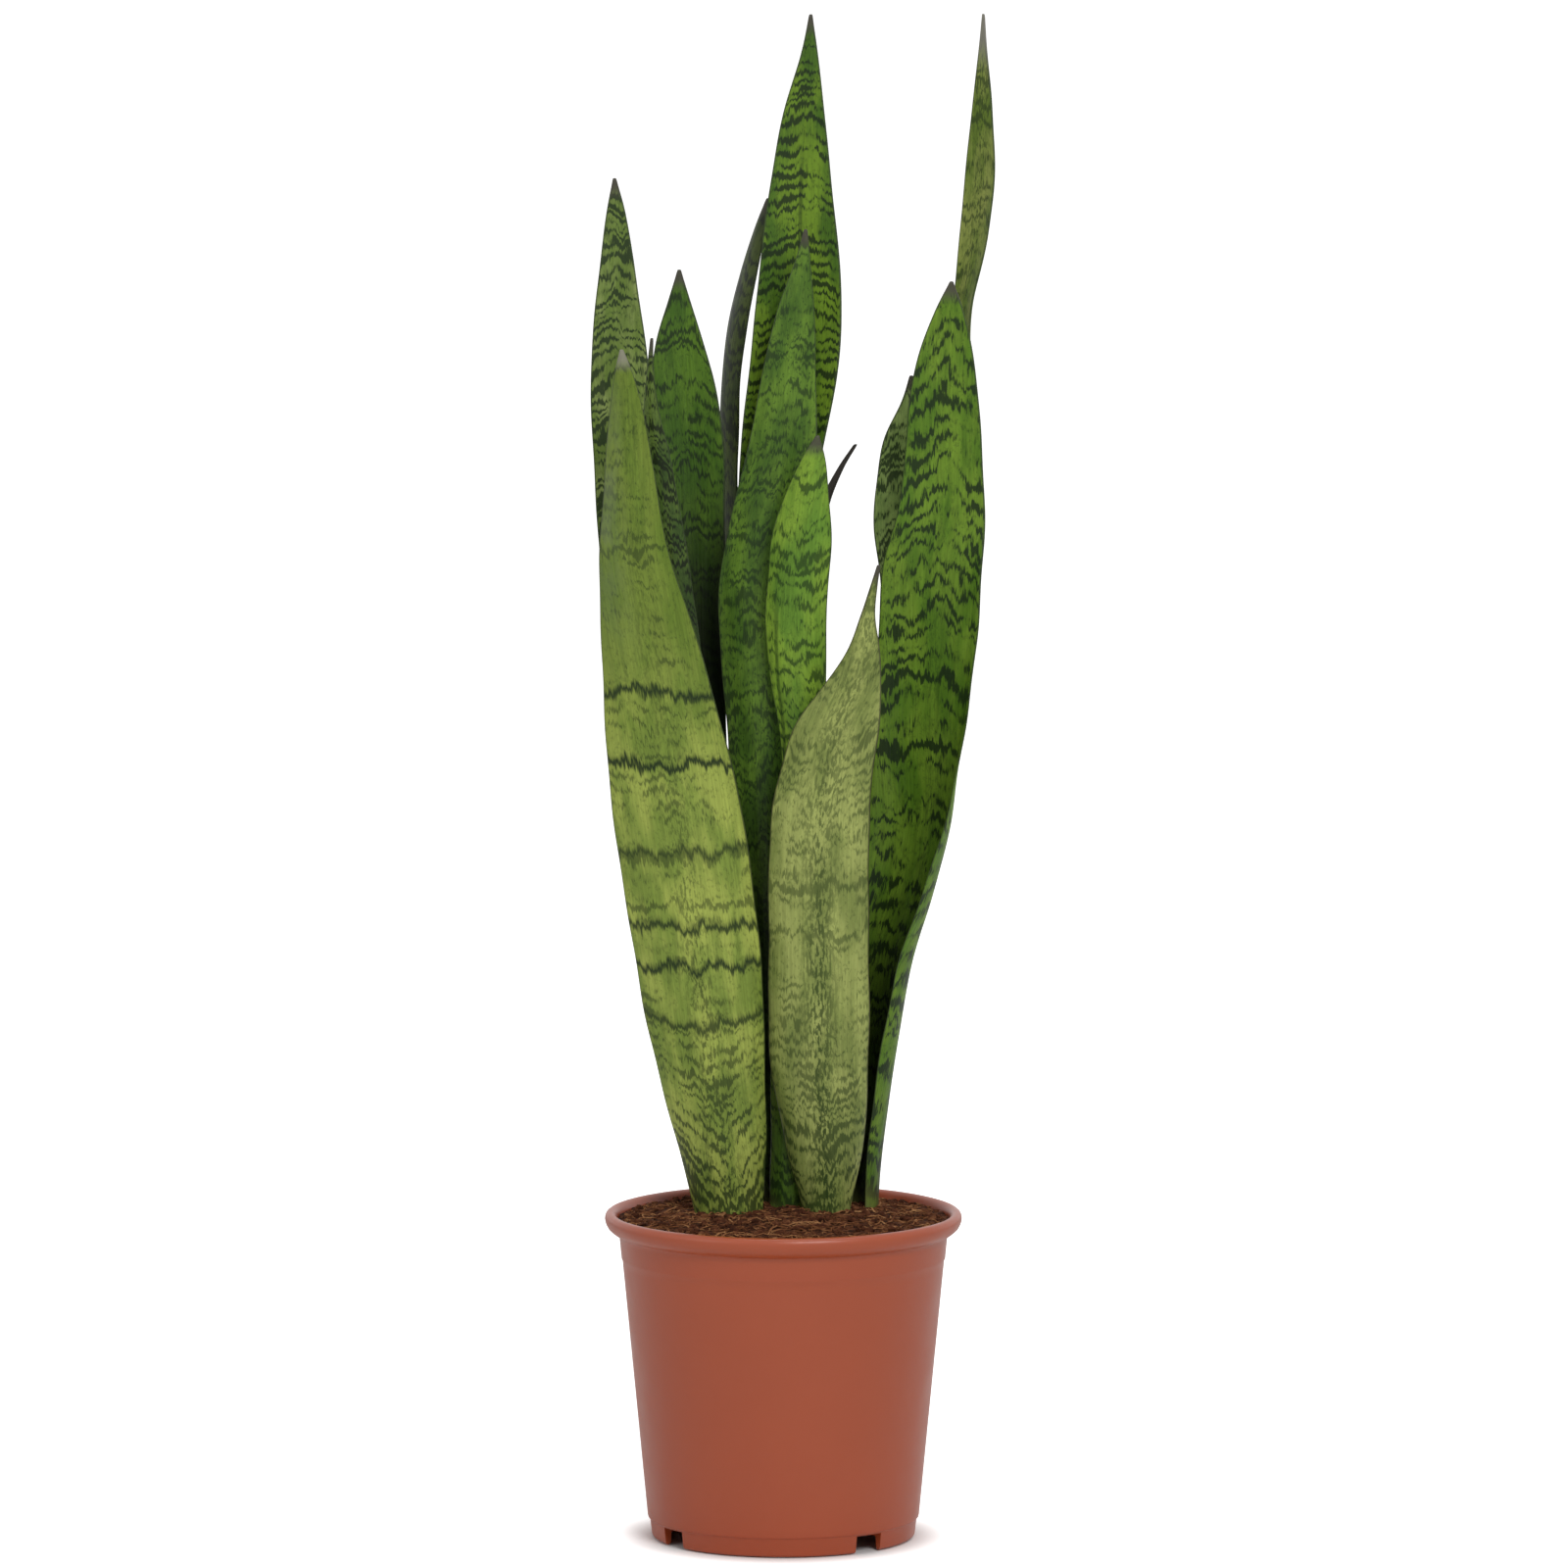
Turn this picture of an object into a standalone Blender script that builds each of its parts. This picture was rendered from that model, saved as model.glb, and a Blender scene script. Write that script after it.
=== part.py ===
"""A snake plant in a 17 cm nursery pot: pot, potting soil, rhizome with roots and thirteen leaves.

Origin at the centre of the pot's underside, on the floor. +Z up, the front towards -Y.
Sizes are in millimetres and are turned into metres by MM where the meshes are made.
"""
import math

import bmesh
import bpy
from mathutils import Vector

MM = 0.001
GAP = 0.3  # air between two pieces that touch in the real plant

# Pot
POT_TOP = 156.0  # height of the lip
LIP_RADIUS = 82.4  # crest of the lip
RIM_RADIUS = 85.0  # widest ring of the rolled rim
RIM_HEIGHT = 10.6
WALL_BASE_RADIUS = 64.0  # the tapered wall carried down to the floor
WALL_SLOPE = 0.0965  # outward per millimetre of height
WALL_THICKNESS = 1.6
STACKING_STEP_HEIGHT = 133.5
STACKING_STEP = 0.4
FOOT_HEIGHT = 9.0
FOOT_RADIUS = 61.8
FLOOR_TOP = 8.0
PAD_RADIUS = 20.0  # centre of the base, which rests on the surface
PAD_RAMP = 10.0
POT_STEPS = 64

# Drain slots, cut through the foot and the outer part of the floor
DRAIN_ANGLES = (-56.0, 40.0, 124.0, 220.0)  # degrees round from the front
DRAIN_WIDTH = 15.0
DRAIN_TOP = 8.4
DRAIN_INNER_RADIUS = 48.0
DRAIN_OUTER_RADIUS = 68.0

# Soil, a mound that is highest round the leaves: radius, height
SOIL_TOP = ((0.0, 155.5), (25.0, 155.0), (45.0, 154.2), (60.0, 153.3), (70.0, 152.7), (78.5, 152.2))
SOIL_STEPS = 48

# Leaves
LEAF_FOOT = 132.0  # lower end of every leaf, on the rhizome
LEAF_RINGS = 17
ACROSS = (-1.0, -0.5, 0.0, 0.5, 1.0)
FOOT_THICKNESS = 5.0
BLADE_THICKNESS = 3.0
TIP_THICKNESS = 0.9
EDGE_THICKNESS = 0.8
POCKET_GAP = 0.4
POCKET_FOOT = 131.0
POCKET_RINGS = 3  # as the leaf itself has up to just above the soil

# Rhizome and roots
RHIZOME_RADIUS = 9.0
RHIZOME_HEIGHT = LEAF_FOOT - 0.5 - RHIZOME_RADIUS
ROOT_RADIUS = 1.7
ROOT_GAP = 0.5

GREEN_LIGHT = (0.20, 0.30, 0.06)
GREEN_MIDDLE = (0.10, 0.20, 0.04)
GREEN_DARK = (0.05, 0.12, 0.03)

# Each leaf is given by a few stations up its length: height, x and y of the midrib, half width
# across the edges, turn and cup. Turn is the way the outer face looks, in degrees: 0 to the front,
# 90 to the right, 180 to the back. Cup is how far the edges stand in from the midrib.
LEAVES = {
    "leaf_front_left": (
        GREEN_LIGHT,
        (
            (132, -24.5, 0, 13, 0, 9),
            (156, -26, -1, 16.5, 0, 11),
            (229, -35, -6, 26.5, 0, 12),
            (291, -42.2, -11, 30.7, 0, 10.5),
            (338, -48.7, -15, 31.2, 0, 9),
            (434, -63.6, -25, 22.7, 0, 6),
            (477, -70.6, -30, 16, 0, 4.5),
            (551, -74.3, -39, 6.5, 0, 2),
            (572, -76, -42, 0.6, 0, 0.3),
        ),
    ),
    "leaf_left_inner": (
        GREEN_DARK,
        (
            (132, -27, 9, 8, 0, 3.5),
            (156, -28, 9, 9, 0, 4),
            (290, -38, 6, 13, -5, 5),
            (435, -53, -4, 12, -15, 4.5),
            (468, -56.3, -7, 11, -15, 4),
            (514, -60.5, -11, 7.5, -15, 2.5),
            (552, -63, -14, 2.2, -15, 0.8),
            (575, -62, -16, 0.5, -15, 0.3),
        ),
    ),
    "leaf_left_tall": (
        GREEN_MIDDLE,
        (
            (132, -29, 25, 8, 180, 3),
            (156, -29.5, 25, 9, 180, 4),
            (290, -43, 24, 13.5, 180, 5),
            (427, -66, 24, 17.3, 180, 5),
            (529, -75.5, 25, 15.5, 180, 4),
            (571, -78.2, 26, 12.5, 180, 3),
            (602, -78.7, 26, 8.8, 180, 2),
            (634, -79.4, 27, 3.9, 180, 0.8),
            (647, -80, 27, 0.6, 180, 0.3),
        ),
    ),
    "leaf_left_back": (
        GREEN_MIDDLE,
        (
            (132, -26, 34, 9, 180, 4),
            (156, -26, 34, 10, 180, 5),
            (290, -36, 35, 12, 180, 5),
            (399, -42.5, 37, 15.2, 180, 5),
            (478, -44.2, 40, 16.5, 180, 5),
            (524, -46, 42, 17.8, 180, 5),
            (565, -49.2, 43, 12, 180, 3),
            (590, -49.5, 44, 4.4, 180, 1),
            (602, -49.5, 44, 0.6, 180, 0.3),
        ),
    ),
    "leaf_centre_side": (
        GREEN_MIDDLE,
        (
            (132, -12, 46, 7.5, -78, 2.5),
            (156, -13, 46, 8, -78, 2.5),
            (250, -16, 56, 12, -78, 3),
            (350, -22.5, 61, 14, -78, 3.5),
            (449, -27, 63.5, 14, -78, 3.5),
            (523, -28.4, 65, 13.5, -75, 3.5),
            (564, -25.6, 66, 13.5, -74, 3.5),
            (591, -20.2, 67, 12.5, -74, 3),
            (619, -12.2, 68, 6.3, -74, 1.5),
            (634, -7.5, 69, 0.6, -74, 0.3),
        ),
    ),
    "leaf_centre_tall": (
        GREEN_MIDDLE,
        (
            (132, 4, 44, 9, 180, 4),
            (156, 4, 43, 10.5, 180, 5),
            (300, -2, 40, 15, 180, 6),
            (430, -5, 38, 17, 180, 6),
            (526, -0.4, 37, 19.9, 180, 5.5),
            (558, 5.4, 37, 21.5, 180, 5),
            (589, 7.5, 37, 20.4, 180, 5),
            (638, 8.2, 37, 15.4, 180, 3),
            (690, 10.6, 37, 7.6, 180, 1.5),
            (715, 13, 37, 1.9, 180, 0.5),
            (724, 13, 37, 0.6, 180, 0.3),
        ),
    ),
    "leaf_centre_middle": (
        GREEN_MIDDLE,
        (
            (132, 1, 28, 8.5, 0, 3),
            (156, 1, 27, 10, 0, 4),
            (264, -6, 23, 13, 0, 5),
            (377, -9.5, 19, 17, 0, 5),
            (449, -11.5, 17, 19.5, 0, 5),
            (513, -1.5, 16, 17, 0, 4.5),
            (541, 1.6, 15, 14.1, 0, 4),
            (575, 4.6, 14, 10.6, 0, 3),
            (607, 9, 13, 3.9, 0, 1),
            (624, 10.6, 12, 0.6, 0, 0.3),
        ),
    ),
    "leaf_centre_short": (
        GREEN_MIDDLE,
        (
            (132, 2, 19, 8, 0, 3),
            (156, 3, 18, 9.5, 0, 4),
            (264, 4, 12, 9.5, 0, 4),
            (373, 9.4, 5, 10.4, -5, 3.5),
            (430, 5.4, 1, 14.7, -8, 4),
            (476, 7.9, -3, 14.5, -8, 4),
            (499, 10.8, -5, 10.5, -8, 3),
            (517, 14.2, -7, 5.5, -8, 1.5),
            (528, 16.2, -8, 0.6, -8, 0.3),
        ),
    ),
    "leaf_centre_slender": (
        GREEN_DARK,
        (
            (132, 6, 57, 4.5, 180, 1.5),
            (156, 6, 56, 5, 180, 2),
            (300, 5, 52, 6.5, 180, 2),
            (430, 9, 50, 6, 180, 2),
            (481, 17, 50, 3, 180, 1),
            (505, 26.6, 50, 1.4, 180, 0.5),
            (518, 34.6, 50, 0.6, 180, 0.3),
        ),
    ),
    "leaf_front_right": (
        GREEN_LIGHT,
        (
            (132, 20, 5, 9.5, 0, 6),
            (156, 20.4, 4, 11.5, 0, 8),
            (179, 19.9, 2, 17.6, 0, 10.5),
            (243, 16.8, -4, 24.2, 0, 12),
            (335, 16.9, -14, 23.8, 0, 9.5),
            (390, 25.2, -21, 20.2, 0, 7),
            (406, 31, -23, 15.3, 0, 5),
            (422, 36.8, -25, 9.5, 0, 3),
            (447, 40.3, -28, 3, 0, 1),
            (469, 45, -31, 0.6, 0, 0.3),
        ),
    ),
    "leaf_right_broad": (
        GREEN_MIDDLE,
        (
            (132, 42, 33, 11, 112, 7),
            (165, 43, 34, 14, 112, 10),
            (220, 49.3, 36, 19, 115, 14),
            (285, 59.4, 36, 23, 122, 17),
            (333, 71.4, 35, 27, 130, 18.5),
            (371, 71.3, 32, 26, 142, 13),
            (451, 72.9, 26, 25.6, 160, 8),
            (476, 73.5, 24, 23.5, 165, 7),
            (496, 76.9, 23, 20.3, 168, 5),
            (548, 76.6, 19, 16.2, 172, 3),
            (581, 78.4, 16, 8.2, 174, 1.5),
            (599, 79.6, 15, 0.6, 174, 0.3),
        ),
    ),
    "leaf_right_back": (
        GREEN_DARK,
        (
            (132, 21, 50, 7, 180, 3),
            (156, 22, 51, 8, 180, 3.5),
            (200, 30, 52, 10, 180, 4),
            (286, 42, 57, 12, 180, 4.5),
            (333, 50, 59, 13, 180, 5),
            (420, 62, 59, 14.5, 180, 5),
            (449, 61.5, 59, 15, 180, 5),
            (474, 59.6, 59, 16.6, 180, 4.5),
            (515, 60.2, 59, 13.8, 180, 4),
            (538, 61, 59, 4.5, 180, 1.5),
            (550, 61, 59, 0.6, 180, 0.3),
        ),
    ),
    "leaf_right_tall": (
        GREEN_LIGHT,
        (
            (132, 35, 58, 7, 180, 2.5),
            (156, 36, 58, 7.5, 180, 3),
            (220, 40, 63, 9, 180, 3.5),
            (286, 50, 69, 11, 180, 4),
            (400, 70, 74, 14, 180, 4.5),
            (498, 80, 77, 13, 170, 4),
            (582, 87.3, 79, 7, 130, 2.5),
            (626, 93.8, 80, 9.6, 140, 2.5),
            (662, 95.5, 81, 7.6, 142, 1.5),
            (694, 95.4, 81, 3.5, 145, 0.8),
            (721, 95.4, 82, 0.6, 145, 0.3),
        ),
    ),
}

# The way the rhizome creeps under the leaves, as x and y, with one side shoot
RHIZOME_MAIN = ((-26, -4), (-28, 18), (-25, 37), (-10, 47), (6, 51), (19, 50), (31, 45), (38, 36), (41, 23))
RHIZOME_SHOOT = ((6, 51), (2, 38), (2, 22), (10, 9), (22, 3))
# Roots: start x and y on the rhizome, end x, y and height
ROOTS = (
    ((-27, 5), (-52, -28, 62)),
    ((-27, 28), (-58, 12, 40)),
    ((-20, 42), (-34, 47, 30)),
    ((-2, 49), (-8, 60, 24)),
    ((27, 48), (28, 50, 28)),
    ((39, 32), (57, 20, 44)),
    ((2, 26), (-8, 6, 22)),
    ((18, 5), (34, -38, 50)),
)


def clear_scene():
    for old in list(bpy.data.objects):
        bpy.data.objects.remove(old, do_unlink=True)


def make_collection(name):
    group = bpy.data.collections.new(name)
    bpy.context.scene.collection.children.link(group)
    return group


def make_material(name, colour, roughness, metallic=0.0):
    material = bpy.data.materials.new(name)
    material.use_nodes = True
    shader = material.node_tree.nodes["Principled BSDF"]
    shader.inputs["Base Color"].default_value = (*colour, 1.0)
    shader.inputs["Roughness"].default_value = roughness
    shader.inputs["Metallic"].default_value = metallic
    return material


def link_object(name, mesh, group, material=None):
    made = bpy.data.objects.new(name, mesh)
    group.objects.link(made)
    if material:
        mesh.materials.append(material)
    return made


def smooth(mesh, angle=40.0):
    mesh.shade_smooth()
    mesh.set_sharp_from_angle(angle=math.radians(angle))


def turned(name, profile, steps, group, material=None):
    """A turned solid. The profile runs from axis to axis and down its outer side."""
    mesh = bpy.data.meshes.new(name)
    points = [(radius * MM, 0.0, height * MM) for radius, height in profile]
    mesh.from_pydata(points, [(i, i + 1) for i in range(len(points) - 1)], [])
    made = link_object(name, mesh, group, material)
    screw = made.modifiers.new("turn", "SCREW")
    screw.axis = "Z"
    screw.angle = math.tau
    screw.steps = steps
    screw.render_steps = steps
    screw.use_merge_vertices = True
    screw.merge_threshold = 0.00005
    screw.use_smooth_shade = True
    return made


def cut(target, cutter):
    boolean = target.modifiers.new("cut " + cutter.name, "BOOLEAN")
    boolean.operation = "DIFFERENCE"
    boolean.object = cutter


def join(target, other):
    boolean = target.modifiers.new("join " + other.name, "BOOLEAN")
    boolean.operation = "UNION"
    boolean.object = other


def as_guide(made):
    made.hide_render = True
    made.display_type = "WIRE"
    return made


def wall_radius(height):
    """Outer radius of the wall, which steps out a little above the stacking line."""
    step = 0.0 if height > STACKING_STEP_HEIGHT else -STACKING_STEP
    return WALL_BASE_RADIUS + STACKING_STEP + WALL_SLOPE * height + step - STACKING_STEP / 2


def build_pot(group, cutters, material):
    rim_foot = POT_TOP - RIM_HEIGHT
    ring_floor = FLOOR_TOP - WALL_THICKNESS
    inner = [(wall_radius(h) - WALL_THICKNESS, h) for h in (FLOOR_TOP + 1.5, 60.0, 138.0)]
    profile = [
        (0.0, WALL_THICKNESS),
        (PAD_RADIUS - 1.0, WALL_THICKNESS),
        (PAD_RADIUS + PAD_RAMP, FLOOR_TOP),
        (inner[0][0] - 1.2, FLOOR_TOP),
        *inner,
        (77.3, 147.0),
        (79.5, POT_TOP - 2.2),
        (80.8, POT_TOP - 0.4),
        (LIP_RADIUS, POT_TOP),
        (84.1, POT_TOP - 0.9),
        (RIM_RADIUS, POT_TOP - 3.2),
        (RIM_RADIUS - 0.5, POT_TOP - 5.9),
        (81.9, POT_TOP - 8.5),
        (79.8, rim_foot + 0.7),
        (wall_radius(rim_foot), rim_foot),
        (wall_radius(STACKING_STEP_HEIGHT + 0.4), STACKING_STEP_HEIGHT + 0.4),
        (wall_radius(STACKING_STEP_HEIGHT), STACKING_STEP_HEIGHT - 0.4),
        (wall_radius(FOOT_HEIGHT + 0.5), FOOT_HEIGHT + 0.5),
        (wall_radius(FOOT_HEIGHT) - 1.0, FOOT_HEIGHT - 0.3),
        (FOOT_RADIUS + 0.9, 1.0),
        (FOOT_RADIUS, 0.0),
        (FOOT_RADIUS - 1.6, 0.0),
        (FOOT_RADIUS - 2.2, ring_floor),
        (PAD_RADIUS + PAD_RAMP, ring_floor),
        (PAD_RADIUS, 0.0),
        (0.0, 0.0),
    ]
    pot = turned("pot", profile, POT_STEPS, group, material)
    middle = (DRAIN_INNER_RADIUS + DRAIN_OUTER_RADIUS) / 2
    for number, angle in enumerate(DRAIN_ANGLES, 1):
        slot = drain_cutter(f"drain_slot_{number}", cutters)
        slot.location = Vector((math.sin(math.radians(angle)), -math.cos(math.radians(angle)), 0)) * middle * MM
        slot.location.z = (DRAIN_TOP / 2 - 0.5) * MM
        slot.rotation_euler.z = math.radians(angle)
        cut(pot, slot)
    return pot


def drain_cutter(name, cutters):
    """A box as wide as a slot, which reaches from under the pot to just above its floor."""
    size = (DRAIN_WIDTH, DRAIN_OUTER_RADIUS - DRAIN_INNER_RADIUS, DRAIN_TOP + 1.0)
    shape = bmesh.new()
    bmesh.ops.create_cube(shape, size=1.0)
    bmesh.ops.scale(shape, vec=[side * MM for side in size], verts=shape.verts)
    mesh = bpy.data.meshes.new(name)
    shape.to_mesh(mesh)
    shape.free()
    return as_guide(link_object(name, mesh, cutters))


def hermite(stations, height):
    """The station at this height, on a smooth curve through the given ones."""
    index = 0
    while index < len(stations) - 2 and height > stations[index + 1][0]:
        index += 1
    low, high = stations[index], stations[index + 1]
    span = high[0] - low[0]
    t = (height - low[0]) / span
    values = []
    for column in range(1, len(low)):
        start = slope(stations, index, column) * span
        end = slope(stations, index + 1, column) * span
        a, b = low[column], high[column]
        values.append(
            (2 * t**3 - 3 * t**2 + 1) * a
            + (t**3 - 2 * t**2 + t) * start
            + (3 * t**2 - 2 * t**3) * b
            + (t**3 - t**2) * end
        )
    return values


def slope(stations, index, column):
    """Rate of change at a station: the gentler of its two sides where they agree, else level."""
    rates = []
    for first, second in ((index - 1, index), (index, index + 1)):
        if first >= 0 and second < len(stations):
            rise = stations[second][column] - stations[first][column]
            rates.append(rise / (stations[second][0] - stations[first][0]))
    if len(rates) == 1:
        return rates[0]
    if rates[0] * rates[1] <= 0:
        return 0.0
    return 2 * rates[0] * rates[1] / (rates[0] + rates[1])


def thickness_at(height, top, half_width, across):
    """A leaf is thick at its midrib and foot, and thin at its edges and tip."""
    up = (height - LEAF_FOOT) / (top - LEAF_FOOT)
    middle = FOOT_THICKNESS + (BLADE_THICKNESS - FOOT_THICKNESS) * min(up * 2.5, 1.0)
    middle = min(middle, TIP_THICKNESS + half_width * 0.35)
    edge = min(EDGE_THICKNESS, middle)
    return edge + (middle - edge) * (1 - abs(across) ** 1.6)


def leaf_ring(stations, height, grow=0.0):
    """One level slice of a leaf: a cupped arc, outer side then inner side, closed."""
    x, y, half_width, turn, cup = hermite(stations, height)
    cup = max(cup, 0.2)
    bend = (half_width**2 + cup**2) / (2 * cup)
    reach = 2 * math.atan(cup / half_width)
    facing = math.radians(turn)
    outward = Vector((math.sin(facing), -math.cos(facing)))
    along = Vector((math.cos(facing), math.sin(facing)))
    outer, inner = [], []
    for across in ACROSS:
        angle = across * (reach + grow / bend)
        centre = Vector((x, y)) + along * bend * math.sin(angle) - outward * bend * (1 - math.cos(angle))
        normal = outward * math.cos(angle) + along * math.sin(angle)
        half = thickness_at(height, stations[-1][0], half_width, across) / 2 + grow
        outer.append(centre + normal * half)
        inner.append(centre - normal * half)
    return [(p.x, p.y, height) for p in outer + inner[::-1]]


def ring_heights(bottom, top, count):
    """Even steps up the blade, closing up towards the tip."""
    return [bottom + (top - bottom) * (1 - (1 - i / (count - 1)) ** 1.25) for i in range(count)]


def loft(name, rings, group, material=None):
    """A closed solid through level rings of equal count, with flat ends."""
    count = len(rings[0])
    points = [Vector(p) * MM for ring in rings for p in ring]
    faces = []
    for level in range(len(rings) - 1):
        for side in range(count):
            a, b = level * count + side, level * count + (side + 1) % count
            faces.append((a, b, b + count, a + count))
    faces.append(tuple(reversed(range(count))))
    faces.append(tuple(range(len(points) - count, len(points))))
    mesh = bpy.data.meshes.new(name)
    mesh.from_pydata(points, [], faces)
    return link_object(name, mesh, group, material)


def build_leaf(name, stations, group, material):
    top = stations[-1][0]
    rings = [leaf_ring(stations, height) for height in ring_heights(LEAF_FOOT, top, LEAF_RINGS)]
    leaf = loft(name, rings, group, material)
    smooth(leaf.data)
    return leaf


def leaf_pocket(name, stations, cutters):
    """The space that a leaf's foot fills in the soil, a little larger than the leaf."""
    heights = ring_heights(LEAF_FOOT, stations[-1][0], LEAF_RINGS)[:POCKET_RINGS]
    rings = [leaf_ring(stations, height, POCKET_GAP) for height in heights]
    rings[0] = [(x, y, POCKET_FOOT) for x, y, _ in rings[0]]
    return as_guide(loft(name + "_pocket", rings, cutters))


def tube(name, points, radius, group, resolution, material=None):
    """A round stem or root as a closed mesh, from a curve through the points."""
    curve = bpy.data.curves.new(name, "CURVE")
    curve.dimensions = "3D"
    curve.bevel_depth = radius * MM
    curve.bevel_resolution = resolution
    curve.use_fill_caps = True
    spline = curve.splines.new("POLY")
    spline.points.add(len(points) - 1)
    for index, point in enumerate(points):
        spline.points[index].co = (*(Vector(point) * MM), 1.0)
    drawn = bpy.data.objects.new(name + "_curve", curve)
    group.objects.link(drawn)
    bpy.context.view_layer.update()
    evaluated = drawn.evaluated_get(bpy.context.evaluated_depsgraph_get())
    mesh = bpy.data.meshes.new_from_object(evaluated)
    shape = bmesh.new()
    shape.from_mesh(mesh)
    bmesh.ops.remove_doubles(shape, verts=shape.verts, dist=0.00002)
    shape.to_mesh(mesh)
    shape.free()
    made = link_object(name, mesh, group, material)
    made.matrix_world = drawn.matrix_world.copy()
    bpy.data.objects.remove(drawn, do_unlink=True)
    return made


def lengthened(route, extra):
    """The route with its two ends carried on a little, for the hollow that the stem lies in."""
    first, second, last, before = (Vector(route[i]) for i in (0, 1, -1, -2))
    start = first + (first - second).normalized() * extra
    end = last + (last - before).normalized() * extra
    return [tuple(start), *route[1:-1], tuple(end)]


def rounded_route(corners, per_span=3):
    """A smooth way through the corners, at the rhizome's depth."""
    stations = [(i, *corner) for i, corner in enumerate(corners)]
    steps = (len(corners) - 1) * per_span
    flat = [hermite(stations, i / per_span) for i in range(steps + 1)]
    return [(x, y, RHIZOME_HEIGHT) for x, y in flat]


def root_route(start, end):
    """A root leaves the rhizome outwards and turns down as it goes."""
    x, y, low = end
    high = RHIZOME_HEIGHT - 3.0
    route = []
    for i in range(6):
        t = i / 5
        side = 1 - (1 - t) ** 1.7
        route.append((start[0] + (x - start[0]) * side, start[1] + (y - start[1]) * side, high + (low - high) * t**1.5))
    return route


def underground(label, group, material, grow):
    """The rhizome, its side shoot and its roots, joined into one body."""
    route = lengthened(rounded_route(RHIZOME_MAIN), grow)
    body = tube(label, route, RHIZOME_RADIUS + grow, group, 3, material)
    shoot = lengthened(rounded_route(RHIZOME_SHOOT), grow)
    pieces = [tube(label + "_shoot", shoot, RHIZOME_RADIUS - 0.4 + grow, group, 3)]
    for number, (start, end) in enumerate(ROOTS, 1):
        route = lengthened(root_route(start, end), grow)
        pieces.append(tube(f"{label}_root_{number}", route, ROOT_RADIUS + grow, group, 1))
    return body, pieces


def build_rhizome(group, cutters, material):
    body, pieces = underground("rhizome_and_roots", group, material, 0.0)
    for piece in pieces:
        cutters.objects.link(piece)
        group.objects.unlink(piece)
        join(body, as_guide(piece))
    return body


def build_soil(group, cutters, material):
    base = FLOOR_TOP + GAP
    pad = WALL_THICKNESS + GAP
    side = [(wall_radius(h) - WALL_THICKNESS - GAP, h) for h in (138.0, 60.0, base + 1.5)]
    profile = [
        *SOIL_TOP,
        (76.9, 147.0),
        *side,
        (side[-1][0] - 1.5, base),
        (PAD_RADIUS + PAD_RAMP - GAP, base),
        (PAD_RADIUS - 1.0 - GAP, pad),
        (0.0, pad),
    ]
    soil = turned("soil", profile, SOIL_STEPS, group, material)
    for name, (_, stations) in LEAVES.items():
        cut(soil, leaf_pocket(name, stations, cutters))
    hollow, pieces = underground("root_hollow", cutters, None, ROOT_GAP)
    for piece in (hollow, *pieces):
        cut(soil, as_guide(piece))
    return soil


def main():
    clear_scene()
    plant = make_collection("potted_snake_plant")
    cutters = make_collection("cutters")
    build_pot(plant, cutters, make_material("terracotta_plastic", (0.34, 0.085, 0.035), 0.5))
    build_soil(plant, cutters, make_material("potting_soil", (0.05, 0.022, 0.012), 0.95))
    build_rhizome(plant, cutters, make_material("rhizome_skin", (0.50, 0.25, 0.10), 0.7))
    for name, (colour, stations) in LEAVES.items():
        build_leaf(name, stations, plant, make_material(name + "_skin", colour, 0.45))


main()
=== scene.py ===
import math
import random
import bmesh
import bpy
import numpy as np
from mathutils import Euler, Matrix, Vector, noise


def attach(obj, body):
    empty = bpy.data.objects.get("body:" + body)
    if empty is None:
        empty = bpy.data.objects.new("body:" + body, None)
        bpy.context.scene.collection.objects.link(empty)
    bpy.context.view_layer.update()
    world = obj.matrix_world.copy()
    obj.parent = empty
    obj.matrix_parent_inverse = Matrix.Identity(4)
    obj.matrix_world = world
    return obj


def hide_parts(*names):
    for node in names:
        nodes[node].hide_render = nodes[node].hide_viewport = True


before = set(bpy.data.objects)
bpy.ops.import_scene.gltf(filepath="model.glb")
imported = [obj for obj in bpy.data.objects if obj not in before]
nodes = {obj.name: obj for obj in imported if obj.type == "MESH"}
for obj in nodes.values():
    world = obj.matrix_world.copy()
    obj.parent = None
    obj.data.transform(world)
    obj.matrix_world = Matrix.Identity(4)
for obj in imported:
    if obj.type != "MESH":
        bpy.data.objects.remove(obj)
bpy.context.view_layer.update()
scene = bpy.context.scene
mm = 0.001
print("frame loaded:", len(nodes), "CAD nodes")


def linear(hexColour):  # sRGB hex to the linear values that Blender's sockets take
    channels = [int(hexColour[i:i + 2], 16) / 255 for i in (1, 3, 5)]
    return [c / 12.92 if c <= 0.04045 else ((c + 0.055) / 1.055) ** 2.4 for c in channels] + [1.0]


def addNode(tree, kind, inputs=(), **settings):  # a node with its settings, its values and its links
    node = tree.nodes.new("ShaderNode" + kind)
    for key, value in settings.items():
        setattr(node, key, value)
    for socket, value in dict(inputs).items():
        if isinstance(value, bpy.types.NodeSocket):
            tree.links.new(value, node.inputs[socket])
        else:
            node.inputs[socket].default_value = value
    return node


def startMaterial(name, roughness, ior, specular=0.5):
    material = bpy.data.materials.new(name)
    material.use_nodes = True
    shader = material.node_tree.nodes["Principled BSDF"]
    shader.inputs["Roughness"].default_value = roughness
    shader.inputs["IOR"].default_value = ior
    shader.inputs["Specular IOR Level"].default_value = specular
    return material, material.node_tree, shader


def deselectAll():
    if bpy.context.object and bpy.context.object.mode != "OBJECT":
        bpy.ops.object.mode_set(mode="OBJECT")
    bpy.ops.object.select_all(action="DESELECT")


def makeActive(piece):
    deselectAll()
    piece.select_set(True)
    bpy.context.view_layer.objects.active = piece


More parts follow.
